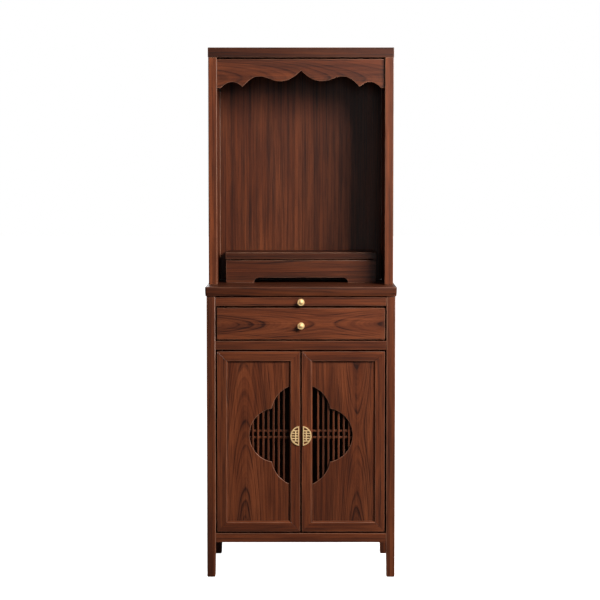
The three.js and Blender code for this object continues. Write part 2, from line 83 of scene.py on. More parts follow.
bl_info = {
    "name": "Household Altar Cabinet",
    "version": (1, 0, 0),
    "blender": (4, 5, 0),
    "location": "3D View > Sidebar > Altar Cabinet",
    "description": "Builds a walnut altar cabinet with an open niche, a drawer and two fretted doors",
    "category": "Add Mesh",
}

MM = 0.001
TINY = 1e-6
SIDES = (("left", -1), ("right", 1))
ACROSS, BACKWARD, UP = 0, 1, 2


# -------------------------------- sizes and colours a maker would change
# The kinds of setting: a size, a share, a plain number, a colour, and a group of settings.


def length(name, description, default, low=0.0, high=10.0):
    return FloatProperty(
        name=name, description=description, unit="LENGTH", min=low, max=high, default=default)


def factor(name, description, default, high=1.0):
    return FloatProperty(
        name=name, description=description, subtype="FACTOR", min=0, max=high, default=default)


def amount(name, description, default):
    return FloatProperty(name=name, description=description, default=default)


def tint(name, description, default):
    return FloatVectorProperty(
        name=name, description=description, subtype="COLOR", size=3, min=0, max=1, default=default)


def pointer(kind, name):
    return PointerProperty(type=kind, name=name, description=kind.__doc__)


class WalnutSettings(PropertyGroup):
    """The oiled walnut of every show face, and the darker one of the carcase boards."""

    pale: tint("Pale Wood", "Early wood between the ring lines", (0.238, 0.0607, 0.0202))
    ruddy: tint("Ruddy Wood", "The common colour of the boards", (0.150, 0.0344, 0.0110))
    dark: tint("Ring Lines", "Dense late wood at the end of each ring", (0.025, 0.0062, 0.0030))
    # Painted highlight: this lighter colour on the arrises is partly real rubbing of the finish and partly
    # stands in for light caught on the rounded edges.
    rubbed: tint("Rubbed Edges", "Arrises where the finish has thinned", (0.420, 0.210, 0.130))
    ring: length("Ring Width", "Growth of the tree in one year", 4.6 * MM, 2 * MM, 20 * MM)
    wander: length("Wander", "How far the rings stray from true circles", 15 * MM, 0, 50 * MM)
    bend: length(
        "Bend", "Length over which the pith turns where a board's arches face each other",
        35 * MM, 5 * MM, 200 * MM)
    roughness: factor("Roughness", "Roughness of the oiled surface", 0.45)
    carcase_shade: factor("Carcase Shade", "Brightness of the inner boards against the show wood", 0.62, 1.5)


class BrassSettings(PropertyGroup):
    """Satin brass of the knobs and pulls."""

    bright: tint("Bright Brass", "Polished places", (0.840, 0.625, 0.330))
    dull: tint("Dull Brass", "Handled and tarnished places", (0.600, 0.400, 0.180))
    roughness: factor("Roughness", "Roughness of the satin brushing", 0.68)


class EdgeSettings(PropertyGroup):
    """How far the edges of the boards are eased, and the dark lines left between some of them."""

    arris: length("Board Arris", "Radius on the edges of boards", 1.2 * MM, 0.3 * MM, 5 * MM)
    post_arris: length(
        "Post Arris", "Radius on the edges of legs, posts and the step's top", 2.4 * MM, 0.3 * MM, 5 * MM)
    # The rubbed strip is where the lighter edge colour fades out; that colour is part real rubbing, part
    # painted highlight.
    strip: length(
        "Rubbed Strip", "Flat strip beside each arris over which the rubbing fades",
        1.0 * MM, 0.2 * MM, 5 * MM)
    shadow_line: length("Shadow Line", "Width of the dark line above the valance", 5.4 * MM, 0, 6 * MM)
    steps: IntProperty(
        name="Arris Steps", description="Facets across each rounded arris", min=2, max=8, default=4)


class LegSettings(PropertyGroup):
    """Feet and tapers of the legs."""

    foot: length("Foot Radius", "Rounding of the sole's corners", 5 * MM, 4 * MM, 10 * MM)
    taper_top: length(
        "Taper Height", "Height at which the inner side starts to taper", 125 * MM, 50 * MM, 300 * MM)
    front_taper: length("Front Taper", "How far a front leg narrows at the foot", 1.5 * MM, 0, 10 * MM)
    rear_taper: length("Rear Taper", "How far a rear leg narrows at the foot", 4 * MM, 0, 10 * MM)


class WorktopSettings(PropertyGroup):
    """The worktop's nosing."""

    corner: length("Corner", "Radius of the corners in plan", 8 * MM, 2 * MM, 30 * MM)
    round_over: length("Round-over", "Height of the rounded upper edge", 5 * MM, 2 * MM, 15 * MM)
    inset: length(
        "Inset", "How far the faces stand back from the nosing's fullest line", 2.4 * MM, 1 * MM, 4 * MM)


class DoorSettings(PropertyGroup):
    """Mouldings of the door frames, the four-lobed opening across both doors, and the lattice behind it."""

    bevel: length("Bevel", "Width of the sloping inner edge of the frame", 4.6 * MM, 2 * MM, 12 * MM)
    bevel_depth: length("Bevel Depth", "How far the inner edge slopes back", 6.6 * MM, 1 * MM, 7 * MM)
    lip: length("Lip", "Thickness of the frame in front of the panel", 8 * MM, 4 * MM, 12 * MM)
    rebate: length("Rebate", "How far the panel runs behind the frame", 8 * MM, 4 * MM, 12 * MM)
    mitre_ease: length("Mitre Ease", "Easing of the edges at each mitre", 0.5 * MM, 0, 2 * MM)
    fret_height: length("Opening Height", "Height of the opening's centre above the floor", 509 * MM)
    side_lobe: length(
        "Side Lobe Offset", "Centre of a side lobe from the line between the doors", 86.5 * MM)
    side_radius: length("Side Lobe Radius", "Radius of a side lobe", 97.2 * MM)
    top_lobe: length(
        "Top Lobe Offset", "Centre of the upper and lower lobes from the opening's centre", 78 * MM)
    top_radius: length("Top Lobe Radius", "Radius of the upper and lower lobes", 105.3 * MM)
    rim: length("Opening Arris", "Radius on the edge of the opening", 1.5 * MM)
    bars: IntProperty(name="Bars", description="Upright bars in each door", min=1, max=12, default=7)
    bar_first: length(
        "First Bar", "Middle of the innermost bar from the line between the doors", 61 * MM)
    bar_pitch: length("Bar Pitch", "Distance between the middles of two bars", 18.4 * MM)
    bar_width: length("Bar Width", "Width of an upright bar", 6.4 * MM)
    bar_depth: length("Bar Depth", "Depth of an upright bar", 5 * MM)
    bar_hidden: length("Bar Overrun", "How far a bar runs behind the panel at each end", 10 * MM)
    cross_height: length("Cross Bar Height", "Height midway between the two cross bars", 511.5 * MM)
    cross_offset: length("Cross Bar Offset", "Distance of each cross bar from their middle", 11.5 * MM)
    cross_width: length("Cross Bar Width", "Height of a cross bar", 6.7 * MM)


class PullSettings(PropertyGroup):
    """The half-round brass pulls."""

    centre: length("Centre", "Centre of the rim from the line between the doors", 2.8 * MM)
    rim: length("Rim", "Width of the rim", 4.4 * MM)
    edge: length("Straight Bar", "Width of the bar along the straight side", 3.7 * MM)
    arris: length("Arris", "Radius on the edges of the fret", 0.6 * MM)
    bar: length("Level Bar", "Width of a level bar", 3.6 * MM)
    pitch: length("Pitch", "Distance between level bars", 9.2 * MM)
    upright: length("Upright Bar", "Middle of the upright bar from the line between the doors", 19 * MM)
    upright_width: length("Upright Width", "Width of the upright bar", 4.4 * MM)


class StepSettings(PropertyGroup):
    """The low opening under the step inside the niche."""

    arch_height: length("Opening Height", "Height of the opening above the worktop", 18.7 * MM)
    arch_flat: length("Level Reach", "Where the opening's top starts to fall, from the middle", 148 * MM)
    arch_foot: length("Foot Reach", "Where the opening meets the worktop, from the middle", 172 * MM)


class StudioSettings(PropertyGroup):
    """Floor, lights and camera."""

    floor: tint("Floor", "Colour of the floor", (0.16, 0.16, 0.16))
    floor_seen: tint("Floor Seen", "Colour of the floor as the camera sees it", (0.8, 0.8, 0.8))
    floor_glow: amount("Floor Glow", "Light added to the floor as the camera sees it", 1.12)
    ambient: amount("Ambient", "Light from all round", 0.06)
    sheen: amount("Sheen", "Brightness of the surround in reflections", 0.34)
    key_power: amount("Key", "Power of the soft box at the upper right", 130)
    fill_power: amount("Fill", "Power of the broad light in front", 4)
    rim_power: amount("Rim", "Power of the narrow light at the right", 8)
    rear_power: amount("Rear", "Power of the broad light behind", 42)
    screen_power: amount("Screen", "Power of the pale screen that only shows in reflections", 8)
    distance: length("Camera Distance", "From the worktop's front edge", 6.45)
    height: length("Camera Height", "Above the floor", 1.478)
    aside: length("Camera Aside", "To the right of the cabinet's middle", -3.4 * MM, -1.0)
    pitch: FloatProperty(
        name="Camera Pitch", description="How far the camera looks down", subtype="ANGLE",
        default=math.radians(3.4))
    lens: amount("Lens", "Focal length in millimetres on a 36 mm sensor", 109.6)
    shift: amount("Shift", "Upward shift of the frame", -0.0475)


class CabinetSettings(PropertyGroup):
    """Everything a user would change."""

    walnut: pointer(WalnutSettings, "Walnut")
    brass: pointer(BrassSettings, "Brass")
    edges: pointer(EdgeSettings, "Edges")
    legs: pointer(LegSettings, "Legs")
    worktop: pointer(WorktopSettings, "Worktop")
    doors: pointer(DoorSettings, "Doors")
    pulls: pointer(PullSettings, "Pulls")
    step: pointer(StepSettings, "Step")
    studio: pointer(StudioSettings, "Studio")


# -------------------------------- node helpers


class Nodes:
    """Adds nodes to a material or world and joins them."""

    def __init__(self, owner):
        owner.use_nodes = True
        self.tree = owner.node_tree
        self.tree.nodes.clear()

    def add(self, kind, **settings):
        node = self.tree.nodes.new(kind)
        for name, value in settings.items():
            setattr(node, name, value)
        return node

    def join(self, source, target):
        self.tree.links.new(source, target)

    def feed(self, node, inputs):
        for key, value in inputs.items():
            socket = node.inputs[key]
            if isinstance(value, bpy.types.NodeSocket):
                self.join(value, socket)
            else:
                socket.default_value = value
        return node

    def maths(self, operation, first, second=0.0, clamp=False):
        node = self.add("ShaderNodeMath", operation=operation, use_clamp=clamp)
        return self.feed(node, {0: first, 1: second}).outputs[0]

    def plus(self, first, second, clamp=False):
        return self.maths("ADD", first, second, clamp)

    def minus(self, first, second, clamp=False):
        return self.maths("SUBTRACT", first, second, clamp)

    def times(self, first, second):
        return self.maths("MULTIPLY", first, second)

    def streaks(self, place, along, across, detail=2.0, roughness=0.5):
        """Noise drawn out along the grain: how many features a metre along it and across it."""
        stretched = self.add("ShaderNodeVectorMath", operation="MULTIPLY")
        self.feed(stretched, {0: place, 1: (along, across, across)})
        noise = self.add("ShaderNodeTexNoise", noise_dimensions="3D")
        self.feed(noise, {"Vector": stretched.outputs[0], "Scale": 1.0})
        self.feed(noise, {"Detail": detail, "Roughness": roughness})
        return noise.outputs["Fac"]

    def line_noise(self, place, scale, detail=1.0):
        node = self.add("ShaderNodeTexNoise", noise_dimensions="1D")
        self.feed(node, {"W": place, "Scale": scale, "Detail": detail})
        return node.outputs["Fac"]

    def spread(self, value, low, high, out_low=0.0, out_high=1.0):
        node = self.add("ShaderNodeMapRange", interpolation_type="SMOOTHSTEP")
        places = {0: value, 1: low, 2: high, 3: out_low, 4: out_high}
        return self.feed(node, places).outputs[0]

    def ramp(self, value, stops):
        node = self.add("ShaderNodeValToRGB")
        elements = node.color_ramp.elements
        while len(elements) < len(stops):
            elements.new(0.5)
        for element, (place, level) in zip(elements, stops):
            element.position = place
            element.color = (level, level, level, 1)
        return self.feed(node, {0: value}).outputs[0]

    def blend(self, share, first, second):
        node = self.add("ShaderNodeMix", data_type="RGBA")
        return self.feed(node, {0: share, 6: first, 7: second}).outputs[2]

    def tinted(self, colour, level):
        node = self.add("ShaderNodeVectorMath", operation="SCALE")
        return self.feed(node, {0: colour, 3: level}).outputs[0]

    def attribute(self, name):
        return self.add("ShaderNodeAttribute", attribute_type="GEOMETRY", attribute_name=name)

    def value(self, name):
        return self.attribute(name).outputs["Fac"]

    def bump(self, height, strength, distance):
        node = self.add("ShaderNodeBump")
        return self.feed(node, {"Strength": strength, "Distance": distance, "Height": height}).outputs[0]

    def surface(self, **inputs):
        shader = self.add("ShaderNodeBsdfPrincipled")
        self.feed(shader, {key.replace("_", " "): value for key, value in inputs.items()})
        output = self.add("ShaderNodeOutputMaterial")
        self.join(shader.outputs[0], output.inputs["Surface"])


def colour(values):
    return (*values, 1.0)


# -------------------------------- finishes


# How dark the wood is from the start to the end of one ring, and of one of the finer flushes within a ring,
# then the count of those flushes and the rings' fine waviness as a share of their wander.
RING_TONES = ((0.0, 0.30), (0.10, 0.06), (0.45, 0.16), (0.74, 0.70), (0.88, 1.0), (1.0, 0.30))
FLUSH_TONES = ((0.0, 0.2), (0.2, 0.0), (0.7, 0.6), (0.85, 1.0), (1.0, 0.2))
FLUSHES_PER_RING = 2.6
RIPPLE = 0.17


def walnut_rings(nodes, log, settings):
    """Distance from the pith, counted in rings. The pith rises or falls on both sides of the saddle."""
    split = nodes.feed(nodes.add("ShaderNodeSeparateXYZ"), {0: log})
    along, across, depth = split.outputs
    from_saddle = nodes.minus(along, nodes.value("saddle"))
    from_saddle = nodes.plus(nodes.times(from_saddle, from_saddle), settings.bend ** 2)
    pith = nodes.plus(depth, nodes.times(nodes.value("rise"), nodes.maths("SQRT", from_saddle)))
    radius = nodes.maths("SQRT", nodes.plus(nodes.times(across, across), nodes.times(pith, pith)))
    drift = nodes.minus(nodes.streaks(log, 1.9, 7.0, 1.2), 0.5)
    ripple = nodes.minus(nodes.streaks(log, 11, 34), 0.5)
    radius = nodes.plus(radius, nodes.times(drift, settings.wander))
    radius = nodes.plus(radius, nodes.times(ripple, RIPPLE * settings.wander))
    return nodes.maths("DIVIDE", radius, settings.ring)


def ring_lines(nodes, log, rings):
    """Dark lines at the end of each ring, stronger in some years than in others and broken along them."""
    line = nodes.ramp(nodes.maths("FRACT", rings), RING_TONES)
    strength = nodes.spread(nodes.line_noise(rings, 0.55), 0.36, 0.62, 0.14, 1.0)
    broken = nodes.spread(nodes.streaks(log, 7, 75), 0.30, 0.62, 0.40, 1.0)
    line = nodes.times(line, nodes.times(strength, broken))
    flush = nodes.ramp(nodes.maths("FRACT", nodes.times(rings, FLUSHES_PER_RING)), FLUSH_TONES)
    return nodes.plus(line, nodes.times(flush, nodes.times(broken, 0.24)))


def walnut_material(name, settings, shade, coat):
    """Walnut with growth rings, fibres and pores, all read from the log coordinates held in the mesh."""
    material = bpy.data.materials.new(name)
    nodes = Nodes(material)
    log = nodes.attribute("grain").outputs["Vector"]
    rings = walnut_rings(nodes, log, settings)
    line = ring_lines(nodes, log, rings)
    band = nodes.spread(nodes.line_noise(rings, 0.21, 2), 0.32, 0.68)
    cloud = nodes.spread(nodes.streaks(log, 2.4, 14), 0.3, 0.7)
    fibre = nodes.streaks(log, 9, 260, 3, 0.6)
    streak = nodes.spread(nodes.streaks(log, 3.2, 90, 3, 0.55), 0.3, 0.7)
    pore = nodes.spread(nodes.streaks(log, 70, 1500, 1), 0.60, 0.72)

    figure = nodes.plus(nodes.times(line, 0.66), nodes.times(band, 0.36))
    fine = nodes.plus(nodes.times(streak, 0.28), nodes.minus(fibre, 0.5))
    figure = nodes.plus(figure, fine, clamp=True)
    base = nodes.blend(cloud, colour(settings.pale), colour(settings.ruddy))
    base = nodes.blend(figure, base, colour(settings.dark))
    # Each piece's brightness: partly its own tone, and partly painted shade on pieces that stand in shadow.
    base = nodes.tinted(base, nodes.times(nodes.value("tone"), shade))
    base = nodes.blend(nodes.times(pore, 0.45), base, colour(settings.dark))
    # Painted highlight: a lighter colour along the arrises, partly real rubbing of the finish and partly
    # light caught on the rounded edges.
    patchy = nodes.spread(nodes.streaks(log, 16, 60), 0.3, 0.65, 0.45, 1.0)
    worn_and_highlit = nodes.times(nodes.times(nodes.value("wear"), patchy), 0.55)
    base = nodes.blend(worn_and_highlit, base, colour(settings.rubbed))

    rough = nodes.plus(nodes.times(streak, 0.12), settings.roughness - 0.06)
    rough = nodes.plus(rough, nodes.times(pore, 0.12))
    rough = nodes.minus(rough, nodes.times(worn_and_highlit, 0.12))
    relief = nodes.plus(nodes.times(fibre, 0.5), nodes.times(line, -0.35))
    relief = nodes.minus(relief, nodes.times(pore, 0.7))
    nodes.surface(
        Base_Color=base, Roughness=rough, Normal=nodes.bump(relief, 0.35, 0.25 * MM),
        Specular_IOR_Level=0.14, Coat_Weight=coat, Coat_Roughness=0.20, Coat_IOR=1.45)
    return material


def brass_material(name, settings):
    """Satin brass: brushed, a little dull in places, and brighter along its arrises and crown, partly from
    real rubbing and partly as a painted highlight.
    """
    material = bpy.data.materials.new(name)
    nodes = Nodes(material)
    place = nodes.attribute("grain").outputs["Vector"]
    tarnish = nodes.spread(nodes.streaks(place, 95, 95, 4, 0.6), 0.38, 0.68)
    brushing = nodes.streaks(place, 240, 3200)
    # Painted highlight: arrises and crowns stay brighter, partly from real rubbing and partly standing in for
    # light caught there.
    dulled = nodes.minus(nodes.times(tarnish, 0.42), nodes.times(nodes.value("wear"), 0.35), clamp=True)
    base = nodes.blend(dulled, colour(settings.bright), colour(settings.dull))
    rough = nodes.plus(nodes.times(brushing, 0.14), settings.roughness - 0.07)
    rough = nodes.plus(rough, nodes.times(tarnish, 0.08))
    nodes.surface(Base_Color=base, Metallic=1.0, Roughness=rough, Normal=nodes.bump(brushing, 0.2, 0.05 * MM))
    return material


SLOT_FINISHES = {"walnut": "oiled_walnut", "carcase_wood": "carcase_walnut", "brass": "satin_brass"}
OILED_COAT, CARCASE_COAT = 0.22, 0.0


def finish(slot):
    """The material that a slot's pieces share, made the first time that it is asked for."""
    settings = bpy.context.scene.altar_cabinet
    name = SLOT_FINISHES[slot]
    if name in bpy.data.materials:
        return bpy.data.materials[name]
    if slot == "walnut":
        return walnut_material(name, settings.walnut, 1.0, OILED_COAT)
    if slot == "carcase_wood":
        return walnut_material(name, settings.walnut, settings.walnut.carcase_shade, CARCASE_COAT)
    return brass_material(name, settings.brass)


# -------------------------------- how boards are cut from the log


# A saddle this far off leaves the arches of a board all pointing one way.
FAR_OFF = -4.0


@dataclass
class Cut:
    """How a piece lay in the tree.

    `along` is the axis of the grain and `face` the axis through the show face. `heart` is where the pith
    lies from the piece's middle, first across the board and then through it. `rise` is how fast the pith
    moves away from the board on both sides of `saddle`, a place along the grain, so that arches point
    towards the saddle where the rise is below zero. The last field is the piece's brightness: partly its
    own tone, and partly painted shade on pieces that stand in shadow, such as the rear legs, niche and step.
    """

    along: int
    face: int
    heart: tuple
    rise: float
    saddle: float = FAR_OFF
    tone: float = 1.0


def straight(along, face, heart=(0.13, 0.06), rise=0.012, **more):
    """A board from well beside the pith, where the rings show as nearly straight lines."""
    return Cut(along, face, heart, rise, **more)


def arched(along, face, heart=(0.0, 0.04), rise=0.08, **more):
    """A board from over the pith, where the rings show as nested arches."""
    return Cut(along, face, heart, rise, **more)


# Each piece comes from its own length of the log, so that no two share a figure.
LOG_LENGTH = 2.37
lengths_used = itertools.count(1)


def set_log_coordinates(bm, cut, middle):
    """Writes where each vertex lay in the tree, how the pith ran there, and the piece's brightness, which is
    partly its own tone and partly painted shade.
    """
    layers = bm.verts.layers
    grain = layers.float_vector.new("grain")
    rise = layers.float.new("rise")
    saddle = layers.float.new("saddle")
    tone = layers.float.new("tone")
    start = LOG_LENGTH * next(lengths_used)
    across = 3 - cut.along - cut.face
    level = cut.rise * abs(cut.saddle)
    for vert in bm.verts:
        place = vert.co - middle
        vert[grain] = (
            place[cut.along] + start,
            place[across] - cut.heart[0],
            place[cut.face] + cut.heart[1] - level,
        )
        vert[rise] = cut.rise
        vert[saddle] = start + cut.saddle
        vert[tone] = cut.tone


# -------------------------------- pieces


def node_body(node):
    return frame["nodes"][node]["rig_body"]


def add_piece(node, bm, cut, slot="walnut"):
    """Turns a finished bmesh into the piece that stands for a node of the frame."""
    low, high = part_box(node)
    set_log_coordinates(bm, cut, (low + high) / 2)
    bmesh.ops.recalc_face_normals(bm, faces=bm.faces)
    suffix = "brass" if slot == "brass" else "wood"
    mesh = bpy.data.meshes.new(f"{node}_{suffix}")
    bm.to_mesh(mesh)
    bm.free()
    mesh.shade_smooth()
    mesh.materials.append(finish(slot))
    piece = bpy.data.objects.new(mesh.name, mesh)
    bpy.context.scene.collection.objects.link(piece)
    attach(piece, node_body(node))
    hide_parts(node)


# How much lighter colour an arris gets, and the two lines where it begins: part real rubbing, part painted
# highlight.
ON_ARRIS, BESIDE_ARRIS = 1.0, 0.4


def wear_and_highlight_layer(bm):
    return bm.verts.layers.float.get("wear") or bm.verts.layers.float.new("wear")


def skin(bm, rows):
    """Faces from each closed row of vertices to the next. A row of one vertex is a point on the axis."""
    for first, second in zip(rows, rows[1:]):
        count = max(len(first), len(second))
        for i in range(count):
            here = (first[i % len(first)], first[(i + 1) % count % len(first)])
            there = (second[(i + 1) % count % len(second)], second[i % len(second)])
            bm.faces.new(list(dict.fromkeys(here + there)))


def cap(bm, loops):
    """Closes flat loops of vertices, each given with its outline in the plane, windows included."""
    verts = [vert for row, _ in loops for vert in row]
    outlines = [[point.to_3d() for point in points] for _, points in loops]
    for triangle in tessellate_polygon(outlines):
        bm.faces.new([verts[i] for i in triangle])


def eased_places(low, high, arris, strip, steps):
    """Grid places along one side of a board: its rounded ends, a narrow strip beside each, and the middle."""
    half = max(steps // 2, 1)
    arc = [arris * (1 - math.tan(math.pi / 4 * (half - i) / half)) for i in range(half + 1)]
    # The strips on the two sides of a thin board stop just short of each other.
    near = arc + [min(arris + strip, (high - low) / 2.05)]
    return [low + d for d in near] + [high - d for d in reversed(near)]


def add_eased_box(bm, low, high, arris, edges):
    """A box with every edge and corner rounded, kept exactly between its low and high corner."""
    wear = wear_and_highlight_layer(bm)
    places = [eased_places(low[a], high[a], arris, edges.strip, edges.steps) for a in range(3)]
    made = {}

    def vertex(point):
        core = Vector([min(max(point[a], low[a] + arris), high[a] - arris) for a in range(3)])
        out = point - core
        place = core + out.normalized() * arris
        key = tuple(round(c, 7) for c in place)
        if key not in made:
            made[key] = bm.verts.new(place)
            # Vertices on the rounded arrises carry the mask for the lighter edge colour: part real rubbing,
            # part painted highlight.
            beyond = sum(abs(c) > TINY for c in out)
            made[key][wear] = ON_ARRIS if beyond > 1 else 0.0
        return made[key]

    for axis in range(3):
        first, second = [a for a in range(3) if a != axis]
        for level in (low[axis], high[axis]):
            def at(i, j):
                point = Vector((0, 0, 0))
                point[axis] = level
                point[first] = places[first][i]
                point[second] = places[second][j]
                return vertex(point)
            for i in range(len(places[first]) - 1):
                for j in range(len(places[second]) - 1):
                    bm.faces.new((at(i, j), at(i + 1, j), at(i + 1, j + 1), at(i, j + 1)))


def board(node, cut, arris=None, slot="walnut", lowered=0.0):
    """A board filling a node's box, with eased edges. `lowered` brings its top edge down a little."""
    edges = bpy.context.scene.altar_cabinet.edges
    low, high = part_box(node)
    high = high - Vector((0, 0, lowered))
    bm = bmesh.new()
    add_eased_box(bm, low, high, arris or edges.arris, edges)
    add_piece(node, bm, cut, slot)


# -------------------------------- outlines


def arc(centre, radius, start, end, step=4.6 * MM):
    """Points along an arc, including both ends."""
    count = max(2, round(abs(end - start) * radius / step))
    turns = [start + (end - start) * i / count for i in range(count + 1)]
    return [Vector((centre[0] + radius * math.cos(t), centre[1] + radius * math.sin(t))) for t in turns]


def bezier(points, count=40):
    """Points along a quadratic or cubic curve, including both ends."""
    made = []
    for i in range(count + 1):
        level = [Vector(p) for p in points]
        while len(level) > 1:
            level = [a.lerp(b, i / count) for a, b in zip(level, level[1:])]
        made.append(level[0])
    return made


def evenly(points, step):
    """The same line with its points an even distance apart, both ends kept."""
    lengths = [0.0]
    for a, b in zip(points, points[1:]):
        lengths.append(lengths[-1] + (b - a).length)
    count = max(2, round(lengths[-1] / step))
    made = [points[0]]
    here = 0
    for i in range(1, count):
        wanted = lengths[-1] * i / count
        while lengths[here + 1] < wanted:
            here += 1
        share = (wanted - lengths[here]) / (lengths[here + 1] - lengths[here])
        made.append(points[here].lerp(points[here + 1], share))
    return made + [points[-1]]


# A corner sharper than this is cut short, so that its mitre stays near the contour.
SHARPEST_MITRE = 0.25


def inset(contour, distance):
    """Moves a closed contour to its left, keeping the corners mitred."""
    moved = []
    for i, point in enumerate(contour):
        before = (point - contour[i - 1]).normalized()
        after = (contour[(i + 1) % len(contour)] - point).normalized()
        left_before = Vector((-before.y, before.x))
        left_after = Vector((-after.y, after.x))
        together = left_before + left_after
        lean = max(1 + left_before.dot(left_after), SHARPEST_MITRE)
        moved.append(point + together * (distance / lean))
    return moved


def to_side(points, side):
    """Points drawn for the right-hand side, placed on either side and still running the same way round."""
    placed = [Vector((side * p.x, p.y)) for p in points]
    return placed if side > 0 else placed[::-1]


def both_sides(right, base):
    """A line drawn from the middle to the right, led over from its mirror image and raised to its base."""
    raised = [Vector((p.x, base + p.y)) for p in right]
    left = [Vector((-p.x, p.y)) for p in reversed(raised)]
    return left + [p for p in raised if p.x > 0]


def quarter_turn(steps):
    """Round a quarter circle, as shares of its radius: how far in from the edge, and how deep."""
    turns = [math.pi / 2 * i / steps for i in range(steps + 1)]
    return [(1 - math.sin(t), 1 - math.cos(t)) for t in turns]


def eased_section(thickness, arris, edges):
    """The edge of a plate from its front face to its back face, as inset, depth and share of the lighter edge
    colour, which is part real rubbing and part painted highlight.
    """
    front = [(arris + edges.strip, 0.0, 0.0)]
    for i, (inward, deep) in enumerate(quarter_turn(edges.steps)):
        worn_and_highlit = BESIDE_ARRIS if i in (0, edges.steps) else ON_ARRIS
        front.append((arris * inward, arris * deep, worn_and_highlit))
    front.append((0.0, arris + edges.strip, 0.0))
    back = [(inward, thickness - deep, worn_and_highlit) for inward, deep, worn_and_highlit in reversed(front)]
    return front + back


def add_plate(bm, contours, section, place):
    """A plate cut to contours: the outline runs anticlockwise and each window clockwise."""
    wear = wear_and_highlight_layer(bm)
    front, back = [], []
    for contour in contours:
        rows = []
        for distance, depth, worn_and_highlit in section:
            row = [bm.verts.new(place(point, depth)) for point in inset(contour, distance)]
            for vert in row:
                vert[wear] = worn_and_highlit
            rows.append(row)
        skin(bm, rows)
        front.append((rows[0], inset(contour, section[0][0])))
        back.append((rows[-1], inset(contour, section[-1][0])))
    cap(bm, front)
    cap(bm, back)


def standing(front):
    """Places a plate drawn as seen from the front, with its front face at this distance back."""
    return lambda point, depth: Vector((point.x, front + depth, point.y))


def plate(node, outline, cut, arris):
    """A piece of its node's depth, cut to an outline seen from the front, with eased edges."""
    low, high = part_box(node)
    section = eased_section(high.y - low.y, arris, bpy.context.scene.altar_cabinet.edges)
    bm = bmesh.new()
    add_plate(bm, [outline], section, standing(low.y))
    add_piece(node, bm, cut)


# -------------------------------- legs and rails


def leg(node, side, taper, tone):
    """A leg, straight outside and tapering inside. Its outline is drawn for the right-hand side."""
    settings = bpy.context.scene.altar_cabinet
    low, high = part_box(node)
    inner, outer = sorted((abs(low.x), abs(high.x)))
    foot, sole, corner = inner + taper, low.z, settings.legs.foot
    outline = [Vector((inner, high.z)), Vector((inner, settings.legs.taper_top))]
    outline += bezier([(foot, sole + corner), (foot, sole), (foot + corner, sole)], 6)
    outline += bezier([(outer - corner, sole), (outer, sole), (outer, sole + corner)], 6)
    outline.append(Vector((outer, high.z)))
    cut = straight(UP, BACKWARD, heart=(0.10 + 0.02 * side, 0.05), rise=0.006 * side, tone=tone)
    plate(node, to_side(outline, side), cut, settings.edges.post_arris)


class ALTAR_OT_legs(Operator):
    """Make the four legs"""

    bl_idname = "altar.legs"
    bl_label = "Legs"

    def execute(self, context):
        legs = context.scene.altar_cabinet.legs
        for label, side in SIDES:
            # Painted shade: the rear legs are darker than the front ones because they stand in shadow.
            leg(f"leg_front_{label}", side, legs.front_taper, tone=0.88)
            leg(f"leg_rear_{label}", side, legs.rear_taper, tone=0.65)
        return {"FINISHED"}


# The dark lines above these pieces are narrower than the valance's, by these shares.
RAIL_LINE, STEP_LINE = 0.32, 0.7


class ALTAR_OT_rails(Operator):
    """Make the rails between the legs"""

    bl_idname = "altar.rails"
    bl_label = "Rails"

    def execute(self, context):
        lowered = RAIL_LINE * context.scene.altar_cabinet.edges.shadow_line
        board("rail_front_bottom", straight(ACROSS, BACKWARD, heart=(0.07, 0.05), rise=0.01), lowered=lowered)
        board("rail_front_middle", straight(ACROSS, BACKWARD, heart=(0.09, 0.04), rise=-0.012, tone=0.95))
        for height in ("bottom", "top"):
            board(f"rail_back_{height}", straight(ACROSS, BACKWARD), slot="carcase_wood")
            for label, side in SIDES:
                board(f"rail_side_{height}_{label}", straight(BACKWARD, ACROSS, rise=0.01 * side))
        return {"FINISHED"}


class ALTAR_OT_carcase(Operator):
    """Make the side panels and the inner boards of the cupboard"""

    bl_idname = "altar.carcase"
    bl_label = "Carcase"

    def execute(self, context):
        for label, side in SIDES:
            heart = (0.03 * side, -0.09 * side)
            board(f"side_panel_{label}", arched(UP, ACROSS, heart=heart, rise=-0.085 * side))
            board(f"drawer_bearer_{label}", straight(BACKWARD, UP), slot="carcase_wood")
            board(f"shelf_runner_{label}", straight(BACKWARD, UP), slot="carcase_wood")
        board("back_panel", arched(UP, BACKWARD, heart=(0.04, -0.06)), slot="carcase_wood")
        board("bottom_board", arched(ACROSS, UP, heart=(0.02, -0.05)), slot="carcase_wood")
        board("drawer_board", arched(ACROSS, UP, heart=(-0.03, -0.05)), slot="carcase_wood")
        return {"FINISHED"}


# -------------------------------- worktop


# How full the worktop's edge stays below its round-over, where 1 is a plain quarter of an ellipse.
NOSING_TAPER = 0.92


def nosing(thickness, top, steps=8):
    """The worktop's edge from its upper to its lower face: a full round-over, then a slow taper in."""
    rows = [(top.inset + 1 * MM, 0.0, 0.0)]
    for i, (inward, deep) in enumerate(quarter_turn(steps)):
        # The round-over gets a little of the lighter edge colour: part real rubbing, part painted highlight.
        worn_and_highlit = (0.0, 0.1, 0.2)[min(i, steps - i, 2)]
        rows.append((top.inset * inward, top.round_over * deep, worn_and_highlit))
    fall = thickness - top.round_over
    for i in range(1, steps + 1):
        turn = math.pi / 2 * i / steps
        depth = top.round_over + fall * math.sin(turn) ** NOSING_TAPER
        rows.append((top.inset * (1 - math.cos(turn)), depth, 0.0))
    rows.append((top.inset + 1 * MM, thickness, 0.0))
    return rows


